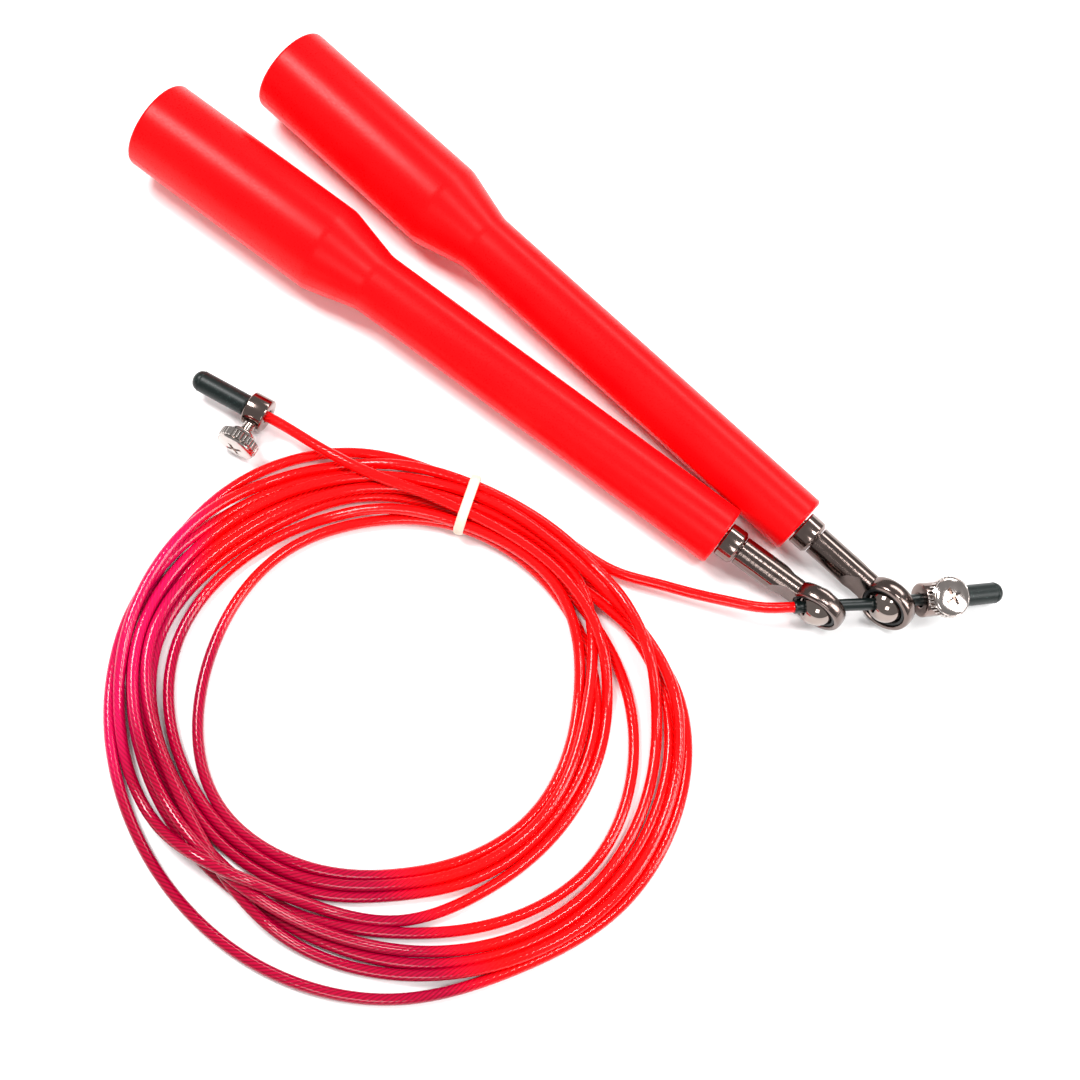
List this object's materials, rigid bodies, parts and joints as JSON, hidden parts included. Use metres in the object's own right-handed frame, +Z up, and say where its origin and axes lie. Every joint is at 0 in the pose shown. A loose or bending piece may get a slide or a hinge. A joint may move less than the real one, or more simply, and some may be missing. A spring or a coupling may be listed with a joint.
{
  "type": "jump rope",
  "caption": "Speed jump rope: moulded grips spinning on ball bearings, rod-end eyes on a coated steel cable coiled in a tie, clamp-screw stoppers and end caps.",
  "frame": {"origin": "on the floor under the middle of the two handles' footprint", "axes": "+X from the grips' butts to their eyes, midway between the two handles; +Z up from the floor"},
  "size_m": [0.2249, 0.1764, 0.0234],
  "materials": {
    "grip_plastic": "fine spark-eroded moulding texture",
    "nickel_plate": "dark bright nickel plate",
    "bearing_steel": "ground",
    "black_polymer": "satin",
    "cable_pvc": "clear tinted coat over twisted strands",
    "tie_rubber": "satin"
  },
  "bodies": {
    "cable": {"cable_coil": "cable_pvc", "cable_handle_lead": "cable_pvc", "cable_free_lead": "cable_pvc", "cable_end_sleeve": "black_polymer", "coil_tie": "tie_rubber", "handle_end_cap": "black_polymer", "free_end_cap": "black_polymer"},
    "left_swivel": {"left_swivel_ball": "nickel_plate"},
    "left_eye": {"left_eye_rod": "nickel_plate", "left_eye_race": "black_polymer", "left_collar": "nickel_plate", "left_spacer_sleeve": "bearing_steel", "left_bearing_inner_ring": "bearing_steel", "left_washer": "bearing_steel", "left_lock_nut": "bearing_steel"},
    "left_cage": {"left_bearing_ball_cage": "bearing_steel"},
    "left_handle": {"left_grip": "grip_plastic", "left_butt_plug": "grip_plastic", "left_bearing_outer_ring": "bearing_steel"},
    "right_swivel": {"right_swivel_ball": "nickel_plate"},
    "right_eye": {"right_eye_rod": "nickel_plate", "right_eye_race": "black_polymer", "right_collar": "nickel_plate", "right_spacer_sleeve": "bearing_steel", "right_bearing_inner_ring": "bearing_steel", "right_washer": "bearing_steel", "right_lock_nut": "bearing_steel"},
    "right_cage": {"right_bearing_ball_cage": "bearing_steel"},
    "right_handle": {"right_grip": "grip_plastic", "right_butt_plug": "grip_plastic", "right_bearing_outer_ring": "bearing_steel"},
    "handle_end_stopper": {"handle_end_stopper": "nickel_plate"},
    "handle_end_screw": {"handle_end_clamp_screw": "nickel_plate", "handle_end_screw_collar": "nickel_plate"},
    "free_end_stopper": {"free_end_stopper": "nickel_plate"},
    "free_end_screw": {"free_end_clamp_screw": "nickel_plate", "free_end_screw_collar": "nickel_plate"}
  },
  "joints": [
    {"name": "left_eye_slide", "type": "slide", "parent": "cable", "child": "left_swivel", "axis": [-0.7265, -0.6872, 0], "range_m": [0, 0.003]},
    {"name": "left_handle_lift", "type": "hinge", "parent": "left_swivel", "child": "left_eye", "pos_m": [0.08651, -0.00568, 0.0068], "axis": [0.7265, 0.6872, 0], "range_deg": [0, 75]},
    {"name": "left_grip_spin", "type": "hinge", "parent": "left_eye", "child": "left_handle", "pos_m": [0.05497, -0.00747, 0.00774], "axis": [0.9979, 0.0567, -0.0299], "continuous": true},
    {"name": "left_cage_roll", "type": "hinge", "parent": "left_eye", "child": "left_cage", "pos_m": [0.05497, -0.00747, 0.00774], "axis": [0.9979, 0.0567, -0.0299], "continuous": true},
    {"name": "right_handle_lift", "type": "hinge", "parent": "cable", "child": "right_swivel", "pos_m": [0.09851, 0.00568, 0.0068], "axis": [0.7265, 0.6872, 0], "range_deg": [0, 75]},
    {"name": "right_handle_swing", "type": "hinge", "parent": "right_swivel", "child": "right_eye", "pos_m": [0.09851, 0.00568, 0.0068], "axis": [0, 0, -1], "range_deg": [0, 45]},
    {"name": "right_grip_spin", "type": "hinge", "parent": "right_eye", "child": "right_handle", "pos_m": [0.06697, 0.00747, 0.00774], "axis": [0.9979, -0.0567, -0.0299], "continuous": true},
    {"name": "right_cage_roll", "type": "hinge", "parent": "right_eye", "child": "right_cage", "pos_m": [0.06697, 0.00747, 0.00774], "axis": [0.9979, -0.0567, -0.0299], "continuous": true},
    {"name": "handle_end_stopper_turn", "type": "hinge", "parent": "cable", "child": "handle_end_stopper", "pos_m": [0.10566, 0.01377, 0.00545], "axis": [0.6471, 0.7496, -0.1392], "range_deg": [-45, 45]},
    {"name": "handle_end_screw_turn", "type": "hinge", "parent": "handle_end_stopper", "child": "handle_end_screw", "pos_m": [0.10566, 0.01377, 0.00545], "axis": [0.2838, -0.0674, 0.9565], "range_deg": [0, 360]},
    {"name": "free_end_stopper_slide", "type": "slide", "parent": "cable", "child": "free_end_stopper", "axis": [0.9816, 0.1908, 0], "range_m": [0, 0.0025]},
    {"name": "free_end_screw_turn", "type": "hinge", "parent": "free_end_stopper", "child": "free_end_screw", "pos_m": [-0.0398, -0.0535, 0.0049], "axis": [0.1908, -0.9816, 0], "range_deg": [0, 360]}
  ],
  "couplings": [
    {"joint": "left_cage_roll", "follows": "left_grip_spin", "ratio": 0.6},
    {"joint": "right_cage_roll", "follows": "right_grip_spin", "ratio": 0.6}
  ]
}
